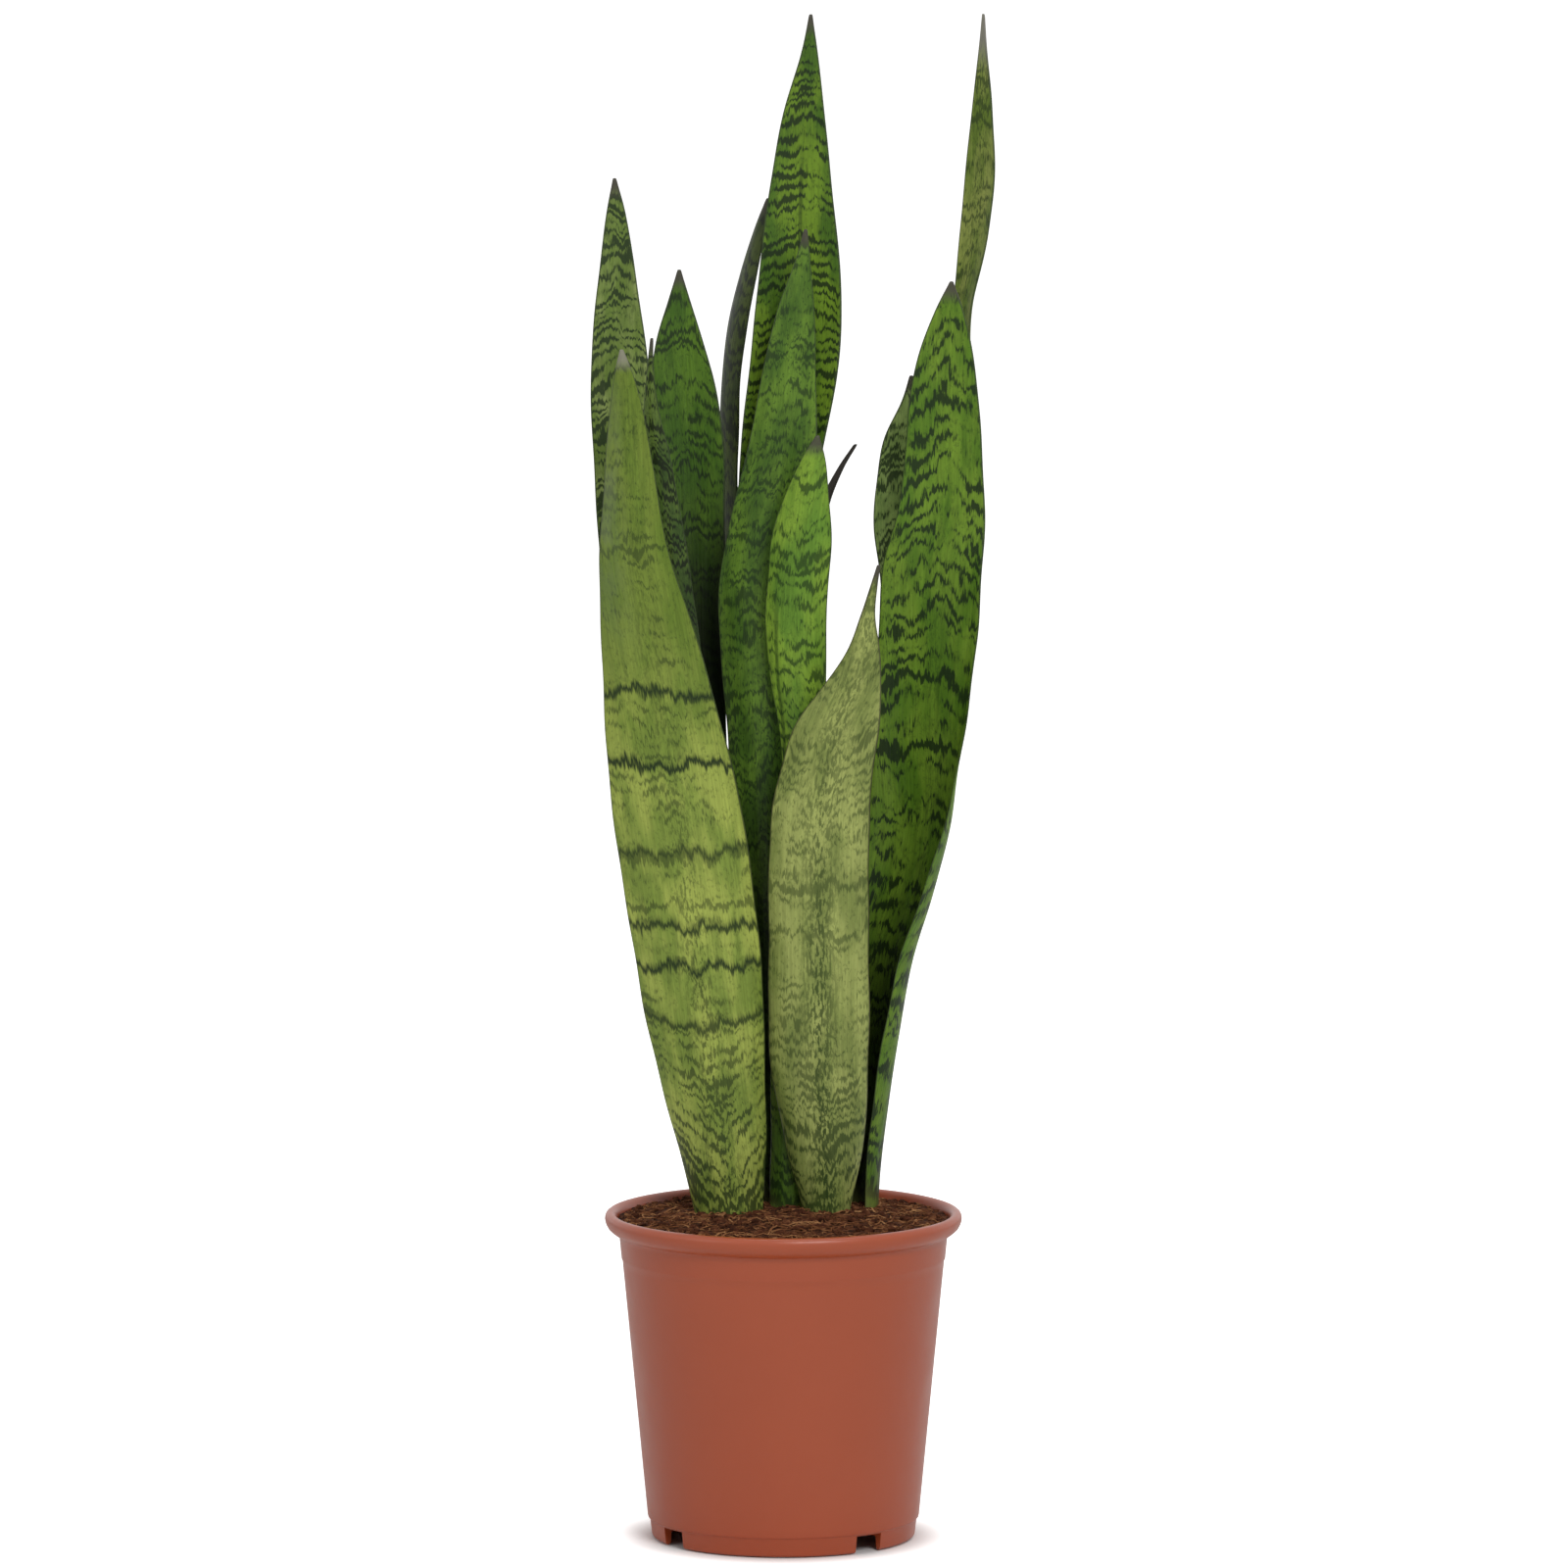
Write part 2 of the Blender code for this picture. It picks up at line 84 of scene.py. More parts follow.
def applyModifiers(piece):
    makeActive(piece)
    for modifier in list(piece.modifiers):
        bpy.ops.object.modifier_apply(modifier=modifier.name)


def pointOutwards(piece):  # turns the mesh the right way out if its volume comes out negative
    mesh = bmesh.new()
    mesh.from_mesh(piece.data)
    if mesh.calc_volume(signed=True) < 0:
        bmesh.ops.reverse_faces(mesh, faces=mesh.faces)
    mesh.to_mesh(piece.data)
    mesh.free()


def settle(piece):  # the object ends at the origin, with its place in its mesh
    makeActive(piece)
    bpy.ops.object.transform_apply(location=True, rotation=True, scale=True)


cameraSettings = {
    "place": (0.0003, -6.6, 1.1954),
    "target": (0.0003, 0.0, 0.361),
    "lens": 322,
}
lightSettings = {
    "worldStrength": 0.34, "worldSeen": 1.0,  # what lights the plant, and what the camera and the gloss see
    "key": {"place": (1.3, -3.3, 2.6), "size": 1.5, "power": 68},
    "fill": {"place": (-2.6, -2.2, 1.6), "size": 2.4, "power": 12},
    "top": {"place": (0.2, 0.3, 3.4), "size": 2.0, "power": 22},
}
floorSettings = {
    "size": 60, "drop": 0.0005,              # metres
    "paper": "#fbfbfa",
    "glow": 0.8,                             # keeps the far paper as white as the near paper
    "glowFrom": 0.058, "glowTo": 0.088,      # metres from the middle, so that the pot keeps its own shadow
}


def aim(thing, target):
    direction = Vector(target) - thing.location
    thing.rotation_euler = direction.to_track_quat("-Z", "Y").to_euler()


camera = bpy.data.objects.new("camera", bpy.data.cameras.new("camera"))
scene.collection.objects.link(camera)
camera.location = cameraSettings["place"]
camera.data.lens = cameraSettings["lens"]
aim(camera, cameraSettings["target"])
scene.camera = camera
scene.view_settings.view_transform = "Standard"

world = bpy.data.worlds.new("studio")
scene.world = world
world.use_nodes = True
worldTree = world.node_tree
lightPath = addNode(worldTree, "LightPath")
isBright = addNode(worldTree, "Math", {0: lightPath.outputs["Is Camera Ray"],
                                       1: lightPath.outputs["Is Glossy Ray"]}, operation="MAXIMUM").outputs[0]
seen = addNode(worldTree, "Background", {"Color": (1, 1, 1, 1), "Strength": lightSettings["worldSeen"]})
lit = addNode(worldTree, "Background", {"Color": (1, 1, 1, 1),
                                        "Strength": lightSettings["worldStrength"]})
mixed = addNode(worldTree, "MixShader", {0: isBright, 1: lit.outputs[0], 2: seen.outputs[0]})
worldTree.links.new(mixed.outputs[0], worldTree.nodes["World Output"].inputs["Surface"])

for lampName in ("key", "fill", "top"):
    lampSettings = lightSettings[lampName]
    lamp = bpy.data.objects.new(lampName, bpy.data.lights.new(lampName, "AREA"))
    scene.collection.objects.link(lamp)
    lamp.location = lampSettings["place"]
    lamp.data.size = lampSettings["size"]
    lamp.data.energy = lampSettings["power"]
    aim(lamp, (0, 0, 0.35))

deselectAll()
bpy.ops.mesh.primitive_plane_add(size=floorSettings["size"], location=(0, 0, -floorSettings["drop"]))
floor = bpy.context.object
floor.name = "floor"
floorMaterial, floorTree, floorShader = startMaterial("matte studio paper", 0.9, 1.45, 0.2)
floorShader.inputs["Base Color"].default_value = linear(floorSettings["paper"])
glow = addNode(floorTree, "Emission", {"Color": (1, 1, 1, 1), "Strength": floorSettings["glow"]})
isSeen = addNode(floorTree, "LightPath").outputs["Is Camera Ray"]
unlit = addNode(floorTree, "Emission", {"Strength": 0.0})
floorPlace = addNode(floorTree, "TexCoord").outputs["Object"]
fromPot = addNode(floorTree, "VectorMath", {0: floorPlace}, operation="LENGTH").outputs["Value"]
clearOfPot = addNode(floorTree, "MapRange",
                     {0: fromPot, 1: floorSettings["glowFrom"], 2: floorSettings["glowTo"]},
                     interpolation_type="SMOOTHSTEP").outputs[0]
lifted = addNode(floorTree, "Math", {0: isSeen, 1: clearOfPot}, operation="MULTIPLY").outputs[0]
lift = addNode(floorTree, "MixShader", {0: lifted, 1: unlit.outputs[0], 2: glow.outputs[0]})
paper = addNode(floorTree, "AddShader", {0: floorShader.outputs[0], 1: lift.outputs[0]})
floorTree.links.new(paper.outputs[0], floorTree.nodes["Material Output"].inputs["Surface"])
floor.data.materials.append(floorMaterial)
print("camera, lights and floor ready")


# Each leaf stands on its own CAD node: the node's rings give the middle surface and the thickness,
# and a fine grid laid over them is given its thickness again and rounded.

leafBuild = {
    "columns": 14,        # faces across, an even number, so that a line of points follows the midrib
    "rows": 110,          # faces from foot to tip
    "marginWave": 0.35,   # mm that the margins wander
    "waveLength": 46,     # mm
    "fadeLength": 60,     # mm over which the wave dies out at foot and tip
}


def ringLoops(node):  # the rings of a leaf node, foot first, each as ten points in order round the leaf
    mesh = bmesh.new()
    mesh.from_mesh(nodes[node].data)
    bmesh.ops.remove_doubles(mesh, verts=mesh.verts, dist=1e-5)
    mesh.normal_update()
    levels = {}
    for edge in mesh.edges:
        low, high = edge.verts
        flat = abs(low.co.z - high.co.z) < 1e-5
        if flat and any(abs(face.normal.z) < 0.98 for face in edge.link_faces):
            levels.setdefault(round(low.co.z / mm, 1), []).append((low, high))
    rings = []
    for level in sorted(levels):
        partners = {}
        for low, high in levels[level]:
            partners.setdefault(low, []).append(high)
            partners.setdefault(high, []).append(low)
        walk = [next(iter(partners))]
        while len(walk) < len(partners):
            walk.append(next(point for point in partners[walk[-1]] if point not in walk))
        ring = np.array([v.co for v in walk])
        x, y = ring[:, 0], ring[:, 1]
        if np.sum(x * np.roll(y, -1) - np.roll(x, -1) * y) < 0:
            ring = ring[::-1]
        rings.append(ring)
    mesh.free()
    return rings


def leafSections(node):  # five middle points and five thicknesses for each ring, in metres
    rings = ringLoops(node)
    widest = max(range(len(rings)), key=lambda i: np.ptp(rings[i], axis=0)[:2].max())
    sides = np.linalg.norm(np.roll(rings[widest], -1, axis=0) - rings[widest], axis=1)
    start = (int(np.argmin(sides)) + 1) % 10
    rings[widest] = np.roll(rings[widest], -start, axis=0)
    for order in (range(widest + 1, len(rings)), range(widest - 1, -1, -1)):
        before = rings[widest]
        for i in order:
            shape = before - before.mean(axis=0)
            turns = [np.roll(rings[i], -k, axis=0) for k in range(10)]
            before = min(turns, key=lambda t: np.sum((t - t.mean(axis=0) - shape) ** 2))
            rings[i] = before
    rings = np.array(rings)
    one, other = rings[:, :5], rings[:, 9:4:-1]
    return (one + other) / 2, np.linalg.norm(one - other, axis=2)


def acrossWeights(count):  # carries five evenly spaced points to count points, on the curve through them
    known = np.linspace(-1, 1, 5)
    wanted = np.linspace(-1, 1, count)
    weights = np.ones((count, 5))
    for i in range(5):
        for j in range(5):
            if i != j:
                weights[:, i] *= (wanted - known[j]) / (known[i] - known[j])
    return weights


def alongCurve(values, count):  # a smooth curve through the rings, count points from foot to tip
    padded = np.concatenate([[2 * values[0] - values[1]], values, [2 * values[-1] - values[-2]]])
    result = []
    for place in np.linspace(0, len(values) - 1, count):
        i = min(int(place), len(values) - 2)
        t = place - i
        a, b, c, d = padded[i:i + 4]
        result.append(b + 0.5 * t * (c - a + t * (2 * a - 5 * b + 4 * c - d + t * (3 * (b - c) + d - a))))
    return np.array(result)


def buildLeaf(node, seed):  # the finished blade and its length in mm
    middles, thicknesses = leafSections(node)
    columns, rows = leafBuild["columns"] + 1, leafBuild["rows"] + 1
    weights = acrossWeights(columns)
    surface = np.einsum("ck,rkx->rcx", weights, alongCurve(middles, rows))
    thickness = np.einsum("ck,rk->rc", weights, alongCurve(thicknesses, rows))
    steps = np.linalg.norm(np.diff(surface, axis=1), axis=2)
    across = np.concatenate([np.zeros((rows, 1)), np.cumsum(steps, axis=1)], axis=1)
    across -= across[:, columns // 2][:, None]
    climb = np.linalg.norm(np.diff(surface[:, columns // 2], axis=0), axis=1)
    along = np.concatenate([[0], np.cumsum(climb)])
    inset = np.minimum(across - across[:, :1], across[:, -1:] - across)
    share = np.linspace(-1, 1, columns)
    facing = np.cross(np.gradient(surface, axis=0), np.gradient(surface, axis=1))
    facing /= np.linalg.norm(facing, axis=2)[:, :, None] + 1e-12
    fadeLength = leafBuild["fadeLength"] * mm
    fade = np.clip((along[-1] - along) / fadeLength, 0, 1) * np.clip(along / fadeLength, 0, 1)
    for side in (-1, 1):
        phase = seed * 1.7 + side
        swing = np.sin(along / mm / leafBuild["waveLength"] * 2 * math.pi + phase)
        swing += 0.6 * np.sin(along / mm / leafBuild["waveLength"] * 3.7 + phase * 2.3)
        reach = np.clip(share * side, 0, 1) ** 3
        drift = swing * fade * leafBuild["marginWave"] * mm
        surface += facing * drift[:, None, None] * reach[None, :, None]

    deselectAll()
    bpy.ops.mesh.primitive_grid_add(x_subdivisions=leafBuild["columns"],
                                    y_subdivisions=leafBuild["rows"], size=0.1, location=(0, 0, 0))
    leaf = bpy.context.object
    leaf.name = node + "_blade"
    leaf.data.vertices.foreach_set("co", surface.reshape(-1).astype(np.float32))
    corner = np.zeros(len(leaf.data.loops), int)
    leaf.data.loops.foreach_get("vertex_index", corner)
    height = np.repeat(along[:, None], columns, axis=1)
    places = {"leafMm": (across / mm, height / mm), "leafEdge": (inset / mm, height / along[-1])}
    while leaf.data.uv_layers:
        leaf.data.uv_layers.remove(leaf.data.uv_layers[0])
    for layerName, (u, v) in places.items():
        layer = leaf.data.uv_layers.new(name=layerName)
        pairs = np.stack([u.reshape(-1)[corner], v.reshape(-1)[corner]], axis=1)
        layer.data.foreach_set("uv", pairs.reshape(-1).astype(np.float32))
    full = float(thickness.max())
    group = leaf.vertex_groups.new(name="thickness")
    for index, value in enumerate(thickness.reshape(-1)):
        group.add([index], float(np.clip(value / full, 0.02, 1)), "REPLACE")
    shell = leaf.modifiers.new("flesh", "SOLIDIFY")
    shell.thickness = full
    shell.offset = 0
    shell.vertex_group = "thickness"
    rounding = leaf.modifiers.new("rounding", "SUBSURF")
    rounding.levels = rounding.render_levels = 1
    applyModifiers(leaf)
    pointOutwards(leaf)
    bpy.ops.object.shade_smooth()
    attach(leaf, "root")
    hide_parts(node)
    return leaf, along[-1] / mm


# Living snake plant leaf: a thick waxy skin, so the gloss is soft and even, over a green that is
# crossed by ragged dark bands drawn in fine strokes along the leaf, about 1 mm wide.
leafLooks = {
    "pale": "#8fa044", "mid": "#74892f", "dark": "#26381a",
    "margin": "#39452c", "marginMm": 0.6, "tip": "#4b473f", "tipMm": 7,
    "foot": "#8b9450", "footMm": 6,
    "fineMm": 7.0, "fine": 0.85, "fineCut": 0.53,   # narrow bands: their spacing, strength and how few
    "footRun": 90, "footBands": 0.04,               # the foot is banded more closely
    "faint": 0.3,                                   # the softer second tone beside the bands
    "bands": [], "bandMm": 3.0,                     # wide bands: height in mm and strength of each
    "swayMm": 4.5, "jagMm": 2.2,                    # how far a band wanders, and its ragged edge
    "valley": 0.55, "peak": -0.45,                  # a band dips at the midrib low down and rises higher up
    "mottle": 0.6, "mottleMm": 9.0, "mottleCut": 0.52, "ribTop": 0.25, "speckle": 0.35,
    "shadeTo": 0.0, "shade": 0.0,                   # painted shade: how high, and how strongly, the lower part of an inner leaf is darkened where the leaves around it shade it
    "openSide": 0,                                  # -1 or 1: the side that this painted shade leaves out
    "shadedCreases": [],                                    # painted shade in creases: mm off the midrib, from mm, to mm, strength
    "paintedSheenSide": 0,                                  # -1 or 1: the side of the folded tip that is paled to grey, a painted sheen of the waxy skin seen at a grazing angle
    "upper": "",                                    # colour of the upper half, where it differs
    "seed": 1,
}


def leafMaterial(name, lengthMm, **changes):
    look = dict(leafLooks, **changes)
    material, tree, shader = startMaterial(name, 0.42, 1.45, 0.22)
    seed = look["seed"] * 13.7  # keeps the leaves' patterns apart

    placeMm = addNode(tree, "UVMap", uv_map="leafMm").outputs[0]
    placeEdge = addNode(tree, "UVMap", uv_map="leafEdge").outputs[0]
    split = addNode(tree, "SeparateXYZ", {0: placeMm})
    splitEdge = addNode(tree, "SeparateXYZ", {0: placeEdge})
    along, rise = split.outputs[1], splitEdge.outputs[1]
    offMidrib = addNode(tree, "Math", {0: split.outputs[0]}, operation="ABSOLUTE").outputs[0]

    def grain(acrossMm, alongMm, detail, shift):  # noise stretched to a given size in mm
        spot = addNode(tree, "Mapping", {"Vector": placeMm, "Scale": (1 / acrossMm, 1 / alongMm, 1),
                                         "Location": (0, 0, seed + shift)})
        return addNode(tree, "TexNoise", {"Vector": spot.outputs[0], "Scale": 1.0, "Detail": detail,
                                          "Roughness": 0.55}).outputs["Fac"]

    def carry(source, low, high, least, most, smooth=True):  # carries a value from one range to another
        return addNode(tree, "MapRange", {0: source, 1: low, 2: high, 3: least, 4: most},
                       interpolation_type="SMOOTHSTEP" if smooth else "LINEAR").outputs[0]

    def joined(one, other, operation):
        return addNode(tree, "Math", {0: one, 1: other}, operation=operation).outputs[0]

    def blend(amount, under, over):
        mix = addNode(tree, "Mix", {"Factor": amount, "A": under, "B": over}, data_type="RGBA")
        return mix.outputs["Result"]

    # where each band lies: bent into a valley near the foot and a peak near the tip, then swayed,
    # and then broken up stroke by stroke
    slope = joined(carry(along, 40, 150, look["valley"], 0.0),
                   carry(rise, 0.35, 0.9, 0.0, look["peak"]), "ADD")
    level = joined(along, joined(offMidrib, slope, "MULTIPLY"), "SUBTRACT")
    level = joined(level, carry(grain(11, 26, 2, 1), 0.3, 0.7, -look["swayMm"], look["swayMm"], False), "ADD")
    level = joined(level, carry(grain(3.2, 20, 2, 9), 0.3, 0.7, -look["jagMm"], look["jagMm"], False), "ADD")
    tornMm = look["jagMm"] * 0.7
    level = joined(level, carry(grain(0.7, 9, 2, 2), 0.3, 0.7, -tornMm, tornMm, False), "ADD")

    # narrow bands, which thin out and thicken over the leaf
    spaced = joined(level, 1 / look["fineMm"], "MULTIPLY")
    fineNoise = addNode(tree, "TexNoise", {"W": spaced, "Scale": 0.55, "Detail": 2.0},
                        noise_dimensions="1D").outputs["Fac"]
    wander = addNode(tree, "TexNoise", {"W": spaced, "Scale": 0.12, "Detail": 1.0},
                     noise_dimensions="1D").outputs["Fac"]
    turns = joined(joined(spaced, joined(wander, 3.0, "MULTIPLY"), "ADD"), 2 * math.pi, "MULTIPLY")
    fineNoise = carry(fineNoise, 0.2, 0.8, 0.38, 0.62, False)
    wave = carry(joined(turns, 0.0, "SINE"), -1.0, 1.0, -0.12, 0.09, False)
    patch = carry(grain(12, 30, 2, 3), 0.3, 0.7, -0.10, 0.10, False)
    flecks = carry(grain(0.8, 4.0, 3, 10), 0.3, 0.7, -0.07, 0.07, False)
    bandValue = joined(joined(joined(fineNoise, wave, "ADD"), patch, "ADD"), flecks, "ADD")
    nearFoot = carry(along, 30, 30 + look["footRun"], 1.0, 0.0)
    bandValue = joined(bandValue, joined(nearFoot, look["footBands"], "MULTIPLY"), "ADD")
    cut = look["fineCut"]
    fineStrength = carry(nearFoot, 0.0, 1.0, look["fine"], max(look["fine"], 0.85), False)
    fine = joined(carry(bandValue, cut, cut + 0.06, 0.0, 1.0), fineStrength, "MULTIPLY")
    halo = carry(bandValue, cut - 0.08, cut + 0.03, 0.0, look["faint"])
    mask = joined(fine, halo, "MAXIMUM")

    # the wide bands
    if look["bands"]:
        ramp = addNode(tree, "ValToRGB", {0: joined(level, 1 / lengthMm, "MULTIPLY")})
        stops = ramp.color_ramp.elements
        stops[0].color = stops[1].color = (0, 0, 0, 1)
        for height, strength in look["bands"]:
            half = look["bandMm"] / 2
            for edge, value in ((-half - 1.2, 0), (-half + 0.6, strength),
                                (half - 0.6, strength), (half + 2.2, 0)):
                stops.new((height + edge) / lengthMm).color = (value, value, value, 1)
        mask = joined(mask, ramp.outputs[0], "MAXIMUM")

    # mottling along the midrib, thickest near the foot, and loose flecks all over
    nearRib = carry(offMidrib, 0.0, look["mottleMm"], 1.0, 0.0)
    weight = joined(nearRib, carry(rise, 0.1, 0.85, 1.0, look["ribTop"], False), "MULTIPLY")
    mottleCut = look["mottleCut"]
    blotch = carry(grain(1.1, 4.2, 3, 4), mottleCut - 0.02, mottleCut + 0.08, 0.0, look["mottle"])
    mask = joined(mask, joined(blotch, weight, "MULTIPLY"), "MAXIMUM")
    fleck = carry(grain(1.6, 2.6, 3, 11), 0.56, 0.66, 0.0, look["speckle"])
    mask = joined(mask, fleck, "MAXIMUM")

    # ground colour: cloudy green with fine strokes
    cloud = carry(grain(12, 40, 3, 5), 0.36, 0.64, 0.0, 1.0)
    ground = blend(cloud, linear(look["pale"]), linear(look["mid"]))
    if look["upper"]:
        ground = blend(carry(rise, 0.45, 0.75, 0.0, 0.75), ground, linear(look["upper"]))
    strokes = carry(grain(0.8, 26, 2, 6), 0.3, 0.7, 0.84, 1.16, False)
    ground = addNode(tree, "HueSaturation", {"Value": strokes, "Color": ground}).outputs[0]
    colour = blend(mask, ground, linear(look["dark"]))
    for lineMm, lowMm, highMm, amount in look["shadedCreases"]:  # painted shade in a crease, drawn as a dark line that runs up the leaf
        offLine = joined(joined(split.outputs[0], lineMm, "SUBTRACT"), 0.0, "ABSOLUTE")
        crease = carry(offLine, 0.4, 1.5, amount, 0.0)
        crease = joined(crease, carry(along, lowMm, lowMm + 30, 0.0, 1.0), "MULTIPLY")
        crease = joined(crease, carry(along, highMm - 30, highMm, 1.0, 0.0), "MULTIPLY")
        colour = blend(crease, colour, linear(look["dark"]))
    # painted sheen: one folded half near the tip is paled to grey, as the waxy skin looks where it turns
    # edge-on to the view
    if look["paintedSheenSide"]:
        paintedSheen = joined(carry(joined(split.outputs[0], look["paintedSheenSide"], "MULTIPLY"), -1, 13, 0.0, 0.5),
                      carry(rise, 0.6, 0.9, 0.0, 1.0), "MULTIPLY")
        paintedSheen = joined(paintedSheen, carry(grain(6, 20, 2, 12), 0.35, 0.6, 0.4, 1.0), "MULTIPLY")
        colour = blend(paintedSheen, colour, linear("#7f8a68"))
    # painted shade: the lower part of a leaf inside the plant is darkened towards near black, standing in for
    # the shade of the leaves around it
    if look["shade"]:
        paintedShade = carry(rise, look["shadeTo"] - 0.22, look["shadeTo"], look["shade"], 0.0)
        outward = addNode(tree, "SeparateXYZ", {0: addNode(tree, "TexCoord").outputs["Normal"]}).outputs[1]
        # the backs are open to the light
        paintedShade = joined(paintedShade, carry(outward, -0.1, 0.4, 1.0, 0.35), "MULTIPLY")
        if look["openSide"]:
            turned = joined(split.outputs[0], look["openSide"], "MULTIPLY")
            paintedShade = joined(paintedShade, carry(turned, 6, 14, 1.0, 0.1), "MULTIPLY")
        colour = blend(paintedShade, colour, linear("#080d06"))

    # margin, foot and the dry grey awl at the tip
    edgeMm = look["marginMm"]
    colour = blend(carry(splitEdge.outputs[0], edgeMm * 0.5, edgeMm * 1.5, 0.8, 0.0), colour,
                   linear(look["margin"]))
    footLine = joined(along, joined(offMidrib, -0.9, "MULTIPLY"), "ADD")
    foot = carry(footLine, look["footMm"], look["footMm"] + 20, 0.6, 0.0)
    colour = blend(foot, colour, linear(look["foot"]))
    tip = carry(along, lengthMm - look["tipMm"] * 1.7, lengthMm - look["tipMm"] * 0.5, 0.0, 0.92)
    colour = blend(tip, colour, linear(look["tip"]))
    tree.links.new(colour, shader.inputs["Base Color"])

    # the skin: soft gloss with fine ridges along the leaf
    tree.links.new(carry(grain(2.5, 30, 2, 7), 0.3, 0.7, 0.34, 0.5, False), shader.inputs["Roughness"])
    bump = addNode(tree, "Bump", {"Strength": 0.4, "Distance": 0.0005, "Height": grain(1.1, 60, 2, 8)})
    tree.links.new(bump.outputs[0], shader.inputs["Normal"])
    return material


leaves = {
    "leaf_front_left": {"pale": "#a2af52", "mid": "#7b8f3c", "dark": "#1c2d14", "fineMm": 7, "fine": 0.6,
                        "faint": 0.18, "fineCut": 0.58, "footBands": 0.12, "footRun": 110, "swayMm": 3.0,
                        "mottle": 0.85, "mottleMm": 12, "tip": "#8d8b7b", "valley": 1.0, "peak": 0.0,
                        "paintedSheenSide": -1, "upper": "#587120",
                        "speckle": 0.3, "footMm": -25,
                        "bands": [(114, 0.85), (144, 1), (163, 0.95), (200, 0.9), (243, 1), (278, 1)],
                        "seed": 1},
    "leaf_left_tall": {"pale": "#8a9a58", "mid": "#647a35", "dark": "#1c2c16", "fineMm": 5.2, "fine": 0.9,
                       "fineCut": 0.5, "jagMm": 1.2, "seed": 2},
    "leaf_left_back": {"pale": "#587a24", "mid": "#41631a", "dark": "#152510", "fineMm": 7, "shade": 0.95,
                       "shadeTo": 0.84, "seed": 3},
    "leaf_left_inner": {"pale": "#5d7332", "mid": "#3f5824", "dark": "#10190a", "fineMm": 5, "fine": 0.9,
                        "fineCut": 0.48, "shade": 0.85, "shadeTo": 0.8, "seed": 4},
    "leaf_centre_side": {"pale": "#4a5824", "mid": "#2c3b15", "dark": "#141d0b", "fineMm": 8, "fine": 0.9,
                         "fineCut": 0.48, "margin": "#2c3618", "shade": 0.9, "shadeTo": 0.6,
                         "shadedCreases": [(7, 250, 520, 0.8)], "seed": 5},
    "leaf_centre_tall": {"pale": "#6b8a26", "mid": "#43641b", "dark": "#12210e", "fineMm": 5.2, "fine": 0.9,
                         "fineCut": 0.515, "jagMm": 1.3, "swayMm": 3, "peak": -0.3,
                         "shade": 0.6, "shadeTo": 0.55, "shadedCreases": [(0, 330, 540, 0.5)], "seed": 6},
    "leaf_centre_middle": {"pale": "#67892e", "mid": "#476722", "dark": "#172915", "fineMm": 7, "fine": 0.75,
                           "fineCut": 0.53, "speckle": 0.6, "shade": 0.72, "shadeTo": 0.5, "seed": 7},
    "leaf_centre_short": {"pale": "#82a436", "mid": "#62892c", "dark": "#1d3612", "fineMm": 7.5, "fine": 0.8,
                          "fineCut": 0.545, "valley": 1.0, "peak": 0.5, "shade": 0.45, "shadeTo": 0.35,
                          "shadedCreases": [(-9, 120, 330, 0.6)], "seed": 8},
    "leaf_centre_slender": {"pale": "#54554a", "mid": "#3d4034", "dark": "#2a2a25",
                            "tipMm": 40, "tip": "#37322f", "seed": 9},
    "leaf_right_tall": {"pale": "#8f9a4e", "mid": "#62782b", "dark": "#2c3c18", "fineMm": 8, "fine": 0.8,
                        "fineCut": 0.55, "ribTop": 1.0, "tipMm": 18, "tip": "#827f76", "mottle": 0.8,
                        "seed": 10},
    # painted shade: this leaf's margin is drawn wider and darker, its own dark margin colour together with
    # the shade that lies along it
    "leaf_front_right": {"pale": "#a2ac60", "mid": "#808d49", "dark": "#283c15", "fineMm": 6.4, "fine": 0.6,
                         "fineCut": 0.55, "faint": 0.2, "footBands": 0.06, "mottle": 0.95, "mottleMm": 13,
                         "mottleCut": 0.49, "ribTop": 0.6, "valley": 0.7, "peak": 0.6,
                         "margin": "#3f3d2c", "marginMm": 1.0, "footMm": -25, "seed": 11},
    "leaf_right_broad": {"pale": "#6f8f2b", "mid": "#53771e", "dark": "#142610", "fineMm": 10, "fine": 0.92,
                         "fineCut": 0.53, "jagMm": 2.6, "peak": -0.8, "valley": 0.0, "swayMm": 5,
                         "shade": 0.8, "shadeTo": 0.42, "openSide": -1,
                         "seed": 12},
    "leaf_right_back": {"pale": "#a6bd70", "mid": "#829c54", "dark": "#24351a", "fineMm": 5.5, "fine": 0.9,
                        "fineCut": 0.48, "seed": 13},
}

for node, look in leaves.items():
    leaf, lengthMm = buildLeaf(node, look["seed"])
    leaf.data.materials.append(leafMaterial("snake plant leaf " + node[5:], lengthMm, **look))
print("leaves ready")


potBuild = {
    "segments": 160,
    "slotTurns": (-56, 40, 124, 220),  # degrees from the front
    "slotWide": 15, "slotHigh": 8.4,   # mm
    "slotFrom": 48, "slotTo": 68,      # mm from the middle of the pot
    "slotStart": -2,                   # mm, below the foot, so that the cut is clean
    "wall": 1.6,                       # mm
    "foot": 63.8, "taper": 0.0965,     # mm, the radius at the foot, and how much it grows for each mm up
    "step": 0.4, "stepHeight": 133.5,  # mm, where the next pot in a stack comes to rest
}


def wallRadius(height):  # the taper, with the small stacking step near the top
    step = potBuild["step"] if height > potBuild["stepHeight"] else 0
    return potBuild["foot"] + step + potBuild["taper"] * height


